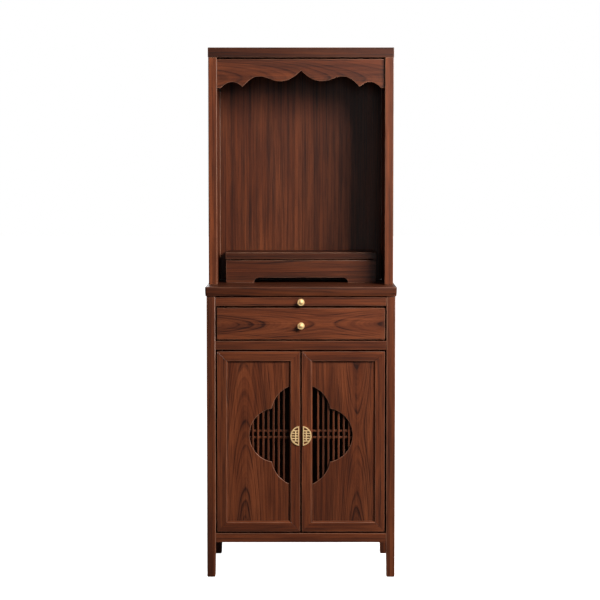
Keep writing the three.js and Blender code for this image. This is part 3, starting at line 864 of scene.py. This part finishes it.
class ALTAR_OT_worktop(Operator):
    """Make the worktop with its rounded nosing"""

    bl_idname = "altar.worktop"
    bl_label = "Worktop"

    def execute(self, context):
        top = context.scene.altar_cabinet.worktop
        low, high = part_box("worktop")
        corners = (
            (low.x, 1, low.y, 1), (high.x, -1, low.y, 1),
            (high.x, -1, high.y, -1), (low.x, 1, high.y, -1))
        outline = []
        for x, toward_x, y, toward_y in corners:
            beside = Vector((x, y + toward_y * top.corner))
            along = Vector((x + toward_x * top.corner, y))
            rounding = bezier([beside, (x, y), along], 6)
            outline += rounding if toward_x == toward_y else rounding[::-1]
        bm = bmesh.new()
        section = nosing(high.z - low.z, top)
        add_plate(bm, [outline], section, lambda point, depth: Vector((point.x, point.y, high.z - depth)))
        add_piece("worktop", bm, arched(ACROSS, UP, heart=(0.09, 0.10), rise=0.02, tone=0.57))
        return {"FINISHED"}


# -------------------------------- drawer and pull-out shelf


class ALTAR_OT_drawer(Operator):
    """Make the drawer's front and its box"""

    bl_idname = "altar.drawer"
    bl_label = "Drawer"

    def execute(self, context):
        cut = arched(ACROSS, BACKWARD, heart=(-0.002, 0.060), rise=-0.085, saddle=0.089, tone=1.05)
        board("drawer_front", cut)
        for label, _ in SIDES:
            board(f"drawer_side_{label}", straight(BACKWARD, ACROSS), slot="carcase_wood")
        board("drawer_back", straight(ACROSS, BACKWARD), slot="carcase_wood")
        board("drawer_bottom", arched(ACROSS, UP, heart=(0.02, 0.05)), slot="carcase_wood")
        return {"FINISHED"}


class ALTAR_OT_shelf(Operator):
    """Make the pull-out shelf"""

    bl_idname = "altar.shelf"
    bl_label = "Pull-out Shelf"

    def execute(self, context):
        board("shelf_front", straight(ACROSS, BACKWARD, heart=(0.06, 0.05), rise=-0.02, tone=0.92))
        board("shelf_board", arched(ACROSS, UP, heart=(-0.05, -0.06), rise=0.03))
        return {"FINISHED"}


# -------------------------------- doors


# Arrises of the doors' smaller parts, as shares of a board's.
MEMBER_ARRIS, BAR_ARRIS, CROSS_ARRIS = 0.7, 0.7, 0.6


def rounded_section(corners, radius, strip, steps=3):
    """A closed section with its corners rounded, as a list of points and a list of their share of the lighter
    edge colour, part real rubbing and part painted highlight.
    """
    points, worn_and_highlit = [], []
    for i, corner in enumerate(corners):
        to_before = (corners[i - 1] - corner).normalized()
        to_after = (corners[(i + 1) % len(corners)] - corner).normalized()
        points.append(corner + to_before * (radius + strip))
        points += bezier([corner + to_before * radius, corner, corner + to_after * radius], steps)
        points.append(corner + to_after * (radius + strip))
        worn_and_highlit += [0.0, BESIDE_ARRIS] + [ON_ARRIS] * (steps - 1) + [BESIDE_ARRIS, 0.0]
    return points, worn_and_highlit


def frame_member_section(width, thickness, doors):
    """Section of a door frame member: x from its outer to its inner edge, y from front to back."""
    rebate = width - doors.rebate
    return [Vector(p) for p in (
        (0, 0), (0, thickness), (rebate, thickness), (rebate, doors.lip),
        (width, doors.lip), (width, doors.bevel_depth), (width - doors.bevel, 0))]


def frame_member(node, along, inward, cut):
    """A member of a door frame, mitred at both ends. `inward` is 1 if its inner edge is the high one."""
    settings = bpy.context.scene.altar_cabinet
    doors, edges = settings.doors, settings.edges
    low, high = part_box(node)
    across = UP if along == ACROSS else ACROSS
    outer_edge = low[across] if inward > 0 else high[across]
    middle = (low[along] + high[along]) / 2
    half = (high[along] - low[along]) / 2
    corners = frame_member_section(high[across] - low[across], high.y - low.y, doors)
    full, worn_and_highlit = rounded_section(corners, MEMBER_ARRIS * edges.arris, edges.strip)
    ease = doors.mitre_ease
    stations = [
        (0.0, inset(full, -ease), [0.0] * len(full)),
        (ease, full, worn_and_highlit),
        (ease + edges.strip, full, worn_and_highlit)]
    bm = bmesh.new()
    wear = wear_and_highlight_layer(bm)
    rows = []
    for end, places in ((-1, stations), (1, stations[::-1])):
        for back, drawn, levels in places:
            row = []
            for mitre, point, level in zip(full, drawn, levels):
                place = Vector((0, low.y + point.y, 0))
                place[along] = middle + end * (half - mitre.x - back)
                place[across] = outer_edge + inward * point.x
                vert = bm.verts.new(place)
                vert[wear] = level
                row.append(vert)
            rows.append(row)
    skin(bm, rows)
    for row in (rows[0], rows[-1]):
        cap(bm, [(row, [Vector((vert.co[across], vert.co.y)) for vert in row])])
    add_piece(node, bm, cut)


def lobe_meeting(doors):
    """Angles about the top lobe's and the side lobe's centre at which the two meet."""
    top, side = Vector((0, doors.top_lobe)), Vector((doors.side_lobe, 0))
    between = side - top
    along = (between.length_squared + doors.top_radius ** 2 - doors.side_radius ** 2) / (2 * between.length)
    aside = math.sqrt(doors.top_radius ** 2 - along ** 2)
    forward = between.normalized()
    point = top + forward * along + Vector((-forward.y, forward.x)) * aside
    return math.atan2(point.y - top.y, point.x), math.atan2(point.y, point.x - side.x)


def panel_outline(low, high, side, doors):
    """A door panel seen from the front, with half of the four-lobed opening cut from its inner edge."""
    inner, outer = sorted((abs(low.x), abs(high.x)))
    at_top, at_side = lobe_meeting(doors)
    start = math.acos(inner / doors.top_radius)
    lobes = arc((0, doors.top_lobe), doors.top_radius, start, at_top)
    lobes += arc((doors.side_lobe, 0), doors.side_radius, at_side, -at_side)[1:]
    lobes += arc((0, -doors.top_lobe), doors.top_radius, -at_top, -start)[1:]
    centre = Vector((0, doors.fret_height))
    corners = [Vector(p) for p in ((inner, low.z), (outer, low.z), (outer, high.z), (inner, high.z))]
    return to_side(corners + [point + centre for point in lobes], side)


def door_panel(label, side):
    """A fretted panel. The left one's arches all point one way, the right one's face each other."""
    doors = bpy.context.scene.altar_cabinet.doors
    node = f"door_{label}_panel"
    rise, saddle, tone = (0.09, FAR_OFF, 1.08) if side < 0 else (-0.09, 0.05, 0.95)
    cut = arched(UP, BACKWARD, heart=(0.049 * side, 0.060), rise=rise, saddle=saddle, tone=tone)
    plate(node, panel_outline(*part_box(node), side, doors), cut, doors.rim)


def opening_half_height(x, doors):
    """Half of the opening's height at a distance from the line between the doors."""
    heights = [0.0]
    for centre_x, centre_z, radius in (
            (0, doors.top_lobe, doors.top_radius), (doors.side_lobe, 0, doors.side_radius)):
        inside = radius ** 2 - (x - centre_x) ** 2
        if inside > 0:
            heights.append(centre_z + math.sqrt(inside))
    return max(heights)


def door_lattice(label, side):
    """The grille behind the opening: upright bars in front and two cross bars behind them."""
    settings = bpy.context.scene.altar_cabinet
    doors, edges = settings.doors, settings.edges
    node = f"door_{label}_lattice"
    low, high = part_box(node)
    bm = bmesh.new()
    for i in range(doors.bars):
        x = doors.bar_first + i * doors.bar_pitch
        half = opening_half_height(x, doors) + doors.bar_hidden
        centre = Vector((side * x, low.y + doors.bar_depth / 2, doors.fret_height))
        reach = Vector((doors.bar_width / 2, doors.bar_depth / 2, half))
        add_eased_box(bm, centre - reach, centre + reach, BAR_ARRIS * edges.arris, edges)
    for direction in (-1, 1):
        z = doors.cross_height + direction * doors.cross_offset
        corner_low = Vector((low.x, low.y + doors.bar_depth, z - doors.cross_width / 2))
        corner_high = Vector((high.x, high.y, z + doors.cross_width / 2))
        add_eased_box(bm, corner_low, corner_high, CROSS_ARRIS * edges.arris, edges)
    add_piece(node, bm, straight(UP, BACKWARD, tone=0.84))


class ALTAR_OT_doors(Operator):
    """Make the two doors: mitred frames, fretted panels and the lattice behind them"""

    bl_idname = "altar.doors"
    bl_label = "Doors"

    def execute(self, context):
        for label, side in SIDES:
            for height, inward in (("bottom", 1), ("top", -1)):
                cut = straight(ACROSS, BACKWARD, heart=(0.08, 0.05), rise=0.01 * inward, tone=1.1)
                frame_member(f"door_{label}_rail_{height}", ACROSS, inward, cut)
            for place, inward, tone in (("outer", -side, 1.08), ("inner", side, 1.24)):
                cut = straight(UP, BACKWARD, heart=(0.09 * inward, 0.05), rise=0.012 * side, tone=tone)
                frame_member(f"door_{label}_stile_{place}", UP, inward, cut)
            door_panel(label, side)
            door_lattice(label, side)
        return {"FINISHED"}


# -------------------------------- brass fittings


def pull_windows(pulls, near, reach):
    """Windows of one pull, clockwise: pairs between plain level bars, and one at each end."""

    def up_the_rim(low, high, count=6):
        heights = [low + (high - low) * i / count for i in range(count + 1)]
        return [(pulls.centre + math.sqrt(max(reach ** 2 - z ** 2, 0)), z) for z in heights]

    left = pulls.upright - pulls.upright_width / 2
    right = pulls.upright + pulls.upright_width / 2
    windows = []
    for row in (-2, -1, 0, 1):
        low = row * pulls.pitch + pulls.bar / 2
        high = (row + 1) * pulls.pitch - pulls.bar / 2
        windows.append([(near, low), (near, high), (left, high), (left, low)])
        windows.append([(right, low), (right, high)] + up_the_rim(low, high)[::-1])
    foot = 2 * pulls.pitch + pulls.bar / 2
    crest = math.sqrt(reach ** 2 - (near - pulls.centre) ** 2)
    end = [(near, foot), (near, crest)] + up_the_rim(foot, crest)[::-1][1:]
    windows.append(end)
    windows.append([(x, -z) for x, z in reversed(end)])
    return [[Vector(point) for point in window] for window in windows]


def pull(label, side):
    """A half-round pull: a rim, a straight bar and a plain fret between them."""
    settings = bpy.context.scene.altar_cabinet
    pulls, edges = settings.pulls, settings.edges
    node = f"door_{label}_pull"
    low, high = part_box(node)
    flat, outer = sorted((abs(low.x), abs(high.x)))
    radius = outer - pulls.centre
    middle = Vector((0, (low.z + high.z) / 2))
    turn = math.acos((flat - pulls.centre) / radius)
    outline = arc((pulls.centre, 0), radius, -turn, turn, 2 * MM)
    contours = [outline] + pull_windows(pulls, flat + pulls.edge, radius - pulls.rim)
    contours = [to_side([point + middle for point in contour], side) for contour in contours]
    thickness, strip, chamfer = high.y - low.y, 0.3 * MM, 0.2 * MM
    # The third value of each row is the mask for brighter brass: part real rubbing, part painted highlight.
    section = [(pulls.arris + strip, 0.0, 0.3)]
    for inward, deep in quarter_turn(edges.steps):
        section.append((pulls.arris * inward, pulls.arris * deep, ON_ARRIS))
    section += [(0.0, thickness - chamfer, 0.0), (chamfer, thickness, 0.0)]
    bm = bmesh.new()
    add_plate(bm, contours, section, standing(low.y))
    add_piece(node, bm, straight(ACROSS, BACKWARD), "brass")


# A knob's turning: radii as shares of the head's radius, and distances out as shares of the knob's reach.
KNOB_RADII = {"foot": 0.60, "neck": 0.36, "flare": 0.20}
KNOB_REACH = {"waist": 0.52, "rim_low": 0.62, "rim_high": 0.80}
# The edge of its back plate, in millimetres: in from the foot's radius, and out from the wood.
PLATE_EDGE = ((0.3, 0.0), (0.0, 0.3), (0.0, 1.3), (0.5, 1.8))


def knob_section(radius, reach):
    """A turned knob as radius and distance out: back plate, waisted neck, and a head with a fine ring."""
    foot, neck, flare = [share * radius for share in KNOB_RADII.values()]
    waist, rim_low, rim_high = [share * reach for share in KNOB_REACH.values()]
    section = [(0.0, 0.0)] + [(foot - inward * MM, out * MM) for inward, out in PLATE_EDGE]
    waist_start = 2.4 * MM
    for i in range(9):
        share = i / 8
        swept = (foot - 1.4 * MM - neck) * (1 - share) ** 3 + flare * share ** 4
        section.append((neck + swept, waist_start + (waist - waist_start) * share))
    edge = (rim_low + rim_high) / 2
    swell = (rim_high - rim_low) / 2
    for i in range(11):
        turn = math.radians(-80 + 145 * i / 10)
        section.append((radius - swell + swell * math.cos(turn), edge + swell * math.sin(turn)))
    groove = radius - 1.25 * swell
    crown_start = edge + 0.93 * swell
    for i in range(5):
        sunk = 0.22 * swell * math.sin(math.pi * i / 4)
        section.append((groove - 0.25 * swell * (i / 2), crown_start - sunk))
    dome = groove - 0.5 * swell
    for i in range(1, 13):
        share = i / 12
        crown = (reach - crown_start) * math.sin(math.pi / 2 * share)
        section.append((dome * (1 - share), crown_start + crown))
    return section


def knob(node, turns=64):
    """A knob turned on the lathe, standing on the face behind it."""
    low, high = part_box(node)
    middle = (low + high) / 2
    bm = bmesh.new()
    wear = wear_and_highlight_layer(bm)
    rows = []
    for distance, out in knob_section((high.x - low.x) / 2, high.y - low.y):
        count = 1 if distance < TINY else turns
        row = []
        for i in range(count):
            turn = 2 * math.pi * i / turns
            x = middle.x + distance * math.cos(turn)
            z = middle.z + distance * math.sin(turn)
            row.append(bm.verts.new((x, high.y - out, z)))
        rows.append(row)
    # The crown gets the brighter brass: part real rubbing, part painted highlight.
    for vert in rows[-1]:
        vert[wear] = ON_ARRIS
    skin(bm, rows)
    add_piece(node, bm, straight(ACROSS, BACKWARD), "brass")


class ALTAR_OT_brass(Operator):
    """Make the knobs and the pulls"""

    bl_idname = "altar.brass"
    bl_label = "Brass Fittings"

    def execute(self, context):
        knob("shelf_knob")
        knob("drawer_knob")
        for label, side in SIDES:
            pull(label, side)
        return {"FINISHED"}


# -------------------------------- niche


class ALTAR_OT_niche(Operator):
    """Make the niche's posts, sides, back and top board"""

    bl_idname = "altar.niche"
    bl_label = "Niche"

    def execute(self, context):
        post_arris = context.scene.altar_cabinet.edges.post_arris
        for label, side in SIDES:
            # Painted light and shade: the front posts' brightness differs by side to even out the light from
            # the right, and the rear posts, niche sides and back are darker as they stand in shadow.
            for place, tone in (("front", 1.09 - 0.12 * side), ("rear", 0.88)):
                cut = straight(UP, BACKWARD, heart=(0.11, 0.05), rise=0.004 * side, tone=tone)
                board(f"niche_post_{place}_{label}", cut, post_arris)
            board(f"niche_side_{label}", arched(UP, ACROSS, heart=(0.05, 0.06), rise=0.03, tone=0.88))
        board("niche_back", straight(UP, BACKWARD, heart=(0.34, 0.09), rise=0.01, tone=0.88))
        board("top_board", straight(ACROSS, BACKWARD, heart=(0.07, 0.13), rise=0.02, tone=0.45))
        return {"FINISHED"}


# The valance's lower edge from the middle outwards, in millimetres: distance from the middle and height above
# its ends, then the slopes with which the curve leaves and reaches each pair of points, and how far those
# slopes hold, as a share of the way across to the next point.
VALANCE_POINTS = {
    "peak": (0, 61.9), "swell": (77.7, 24), "arch": (150, 41),
    "cusp": (209.7, 4), "small_arch": (247.6, 20.8), "foot": (287.4, 0),
}
VALANCE_SLOPES = ((-1, 0), (0, 0), (0, -1.1), (0.85, 0), (0, -1))
VALANCE_SHARE = 0.36


def valance_edge():
    """The right-hand half of the valance's lower edge, from the middle outwards."""
    points = [Vector(point) * MM for point in VALANCE_POINTS.values()]
    edge = [points[0]]
    for start, end, (leave, arrive) in zip(points, points[1:], VALANCE_SLOPES):
        span = VALANCE_SHARE * (end.x - start.x)
        first = start + Vector((span, span * leave))
        second = end - Vector((span, span * arrive))
        edge += evenly(bezier([start, first, second, end]), 4.4 * MM)[1:]
    return edge


class ALTAR_OT_valance(Operator):
    """Make the scalloped valance under the top board"""

    bl_idname = "altar.valance"
    bl_label = "Valance"

    def execute(self, context):
        edges = context.scene.altar_cabinet.edges
        low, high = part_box("valance")
        half, top = high.x, high.z - edges.shadow_line
        corners = [Vector(p) for p in ((half, low.z), (half, top), (-half, top), (-half, low.z))]
        cut = arched(ACROSS, BACKWARD, heart=(-0.02, 0.09), rise=0.08, tone=0.85)
        plate("valance", both_sides(valance_edge(), low.z) + corners, cut, edges.arris)
        return {"FINISHED"}


class ALTAR_OT_step(Operator):
    """Make the low step inside the niche"""

    bl_idname = "altar.step"
    bl_label = "Step"

    def execute(self, context):
        settings = context.scene.altar_cabinet
        step, edges = settings.step, settings.edges
        # Painted shade: the step's top, sides and front are darker because they stand in the niche's shadow.
        cut = arched(ACROSS, BACKWARD, heart=(0.05, 0.08), rise=0.02, tone=0.45)
        board("step_top", cut, edges.post_arris)
        for label, _ in SIDES:
            board(f"step_side_{label}", straight(BACKWARD, ACROSS, tone=0.67))
        low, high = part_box("step_front")
        fall = [(step.arch_flat, step.arch_height), (step.arch_foot, step.arch_height), (step.arch_foot, 0)]
        right = evenly(bezier(fall[::-1]), 3 * MM)[::-1]
        top = high.z - STEP_LINE * edges.shadow_line
        corners = [Vector(p) for p in ((high.x, low.z), (high.x, top), (low.x, top), (low.x, low.z))]
        cut = straight(ACROSS, BACKWARD, heart=(0.05, 0.07), rise=0.015, tone=0.72)
        plate("step_front", both_sides(right, low.z) + corners, cut, edges.arris)
        return {"FINISHED"}


# -------------------------------- floor, lights and camera


def floor_material(settings):
    """Mid grey for the light that it throws back, and white as the camera sees it."""
    material = bpy.data.materials.new("pale_floor")
    nodes = Nodes(material)
    path = nodes.add("ShaderNodeLightPath")
    seen = path.outputs["Is Camera Ray"]
    glow = nodes.times(seen, settings.floor_glow)
    base = nodes.blend(seen, colour(settings.floor), colour(settings.floor_seen))
    nodes.surface(
        Base_Color=base, Roughness=0.9, Specular_IOR_Level=0.0,
        Emission_Color=(1, 1, 1, 1), Emission_Strength=glow)
    return material


def add_floor(settings, half_width=30.0, gap=0.2 * MM):
    """A wide floor a hair below the feet, so that the two never share a plane."""
    bm = bmesh.new()
    bmesh.ops.create_grid(bm, x_segments=1, y_segments=1, size=half_width)
    mesh = bpy.data.meshes.new("studio_floor")
    bm.to_mesh(mesh)
    bm.free()
    mesh.materials.append(floor_material(settings))
    floor = bpy.data.objects.new("studio_floor", mesh)
    bpy.context.scene.collection.objects.link(floor)
    floor.location.z = CAD_BOX[0].z - gap


def add_world(settings):
    """A white surround for the camera, and a gentler one for the light it gives."""
    world = bpy.data.worlds.new("pale_studio")
    bpy.context.scene.world = world
    nodes = Nodes(world)
    path = nodes.add("ShaderNodeLightPath")
    strength = nodes.spread(path.outputs["Is Glossy Ray"], 0, 1, settings.ambient, settings.sheen)
    seen = nodes.feed(nodes.add("ShaderNodeBackground"), {"Color": (1, 1, 1, 1), "Strength": 1.0})
    given = nodes.feed(nodes.add("ShaderNodeBackground"), {"Color": (1, 1, 1, 1), "Strength": strength})
    mixed = nodes.feed(nodes.add("ShaderNodeMixShader"), {
        0: path.outputs["Is Camera Ray"], 1: given.outputs[0], 2: seen.outputs[0]})
    output = nodes.add("ShaderNodeOutputWorld")
    nodes.join(mixed.outputs[0], output.inputs["Surface"])


# Each light's place, the height on the cabinet's middle line at which it aims, its width and its height.
SOFT_BOXES = {
    "key_soft_box": ((1.67, -1.95, 2.40), 1.1, 1.45, 0.9),
    "side_strip": ((2.9, -0.75, 1.7), 1.0, 0.45, 1.2),
    "front_fill": ((0.6, -5.2, 1.6), 1.0, 2.4, 2.4),
    "rear_fill": ((-1.4, 3.6, 2.0), 1.0, 2.0, 2.0),
    "screen": ((1.5, -5.2, 1.35), 1.0, 2.6, 2.6),
}


def add_soft_box(name, power):
    place, aim, width, height = SOFT_BOXES[name]
    light = bpy.data.lights.new(name, "AREA")
    light.shape = "RECTANGLE"
    light.size, light.size_y = width, height
    light.energy = power
    lamp = bpy.data.objects.new(name, light)
    bpy.context.scene.collection.objects.link(lamp)
    lamp.location = place
    lamp.rotation_euler = (Vector((0, 0, aim)) - Vector(place)).to_track_quat("-Z", "Y").to_euler()
    return lamp


def add_camera(settings):
    worktop_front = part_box("worktop")[0].y
    camera = bpy.data.cameras.new("camera")
    camera.lens = settings.lens
    camera.shift_y = settings.shift
    holder = bpy.data.objects.new("camera", camera)
    bpy.context.scene.collection.objects.link(holder)
    holder.location = (settings.aside, worktop_front - settings.distance, settings.height)
    holder.rotation_euler = (math.pi / 2 - settings.pitch, 0, 0)
    bpy.context.scene.camera = holder


class ALTAR_OT_stage(Operator):
    """Set the floor, the lights and the camera"""

    bl_idname = "altar.stage"
    bl_label = "Stage"

    def execute(self, context):
        settings = context.scene.altar_cabinet.studio
        context.scene.view_settings.view_transform = "Standard"
        add_floor(settings)
        add_world(settings)
        add_soft_box("key_soft_box", settings.key_power)
        add_soft_box("side_strip", settings.rim_power)
        add_soft_box("front_fill", settings.fill_power)
        add_soft_box("rear_fill", settings.rear_power)
        screen = add_soft_box("screen", settings.screen_power)
        screen.visible_diffuse = False
        add_camera(settings)
        return {"FINISHED"}


# -------------------------------- panel and registration


OPERATORS = (
    ALTAR_OT_legs, ALTAR_OT_rails, ALTAR_OT_carcase, ALTAR_OT_worktop, ALTAR_OT_drawer, ALTAR_OT_shelf,
    ALTAR_OT_doors, ALTAR_OT_brass, ALTAR_OT_niche, ALTAR_OT_valance, ALTAR_OT_step, ALTAR_OT_stage,
)


class ALTAR_PT_cabinet(Panel):
    """A button for each group of pieces, and the settings"""

    bl_label = "Altar Cabinet"
    bl_idname = "ALTAR_PT_cabinet"
    bl_space_type = "VIEW_3D"
    bl_region_type = "UI"
    bl_category = "Altar Cabinet"

    def draw(self, context):
        settings = context.scene.altar_cabinet
        for operator in OPERATORS:
            self.layout.operator(operator.bl_idname)
        for group in CabinetSettings.__annotations__:
            box = self.layout.box()
            box.label(text=settings.bl_rna.properties[group].name)
            values = getattr(settings, group)
            for value in type(values).__annotations__:
                box.prop(values, value)


CLASSES = (
    WalnutSettings, BrassSettings, EdgeSettings, LegSettings, WorktopSettings, DoorSettings, PullSettings,
    StepSettings, StudioSettings, CabinetSettings, *OPERATORS, ALTAR_PT_cabinet,
)


def register():
    for cls in CLASSES:
        bpy.utils.register_class(cls)
    bpy.types.Scene.altar_cabinet = pointer(CabinetSettings, "Altar Cabinet")


def unregister():
    del bpy.types.Scene.altar_cabinet
    for cls in reversed(CLASSES):
        bpy.utils.unregister_class(cls)


def main():
    register()
    for operator in OPERATORS:
        family, name = operator.bl_idname.split(".")
        getattr(getattr(bpy.ops, family), name)()


if __name__ == "__main__":
    main()
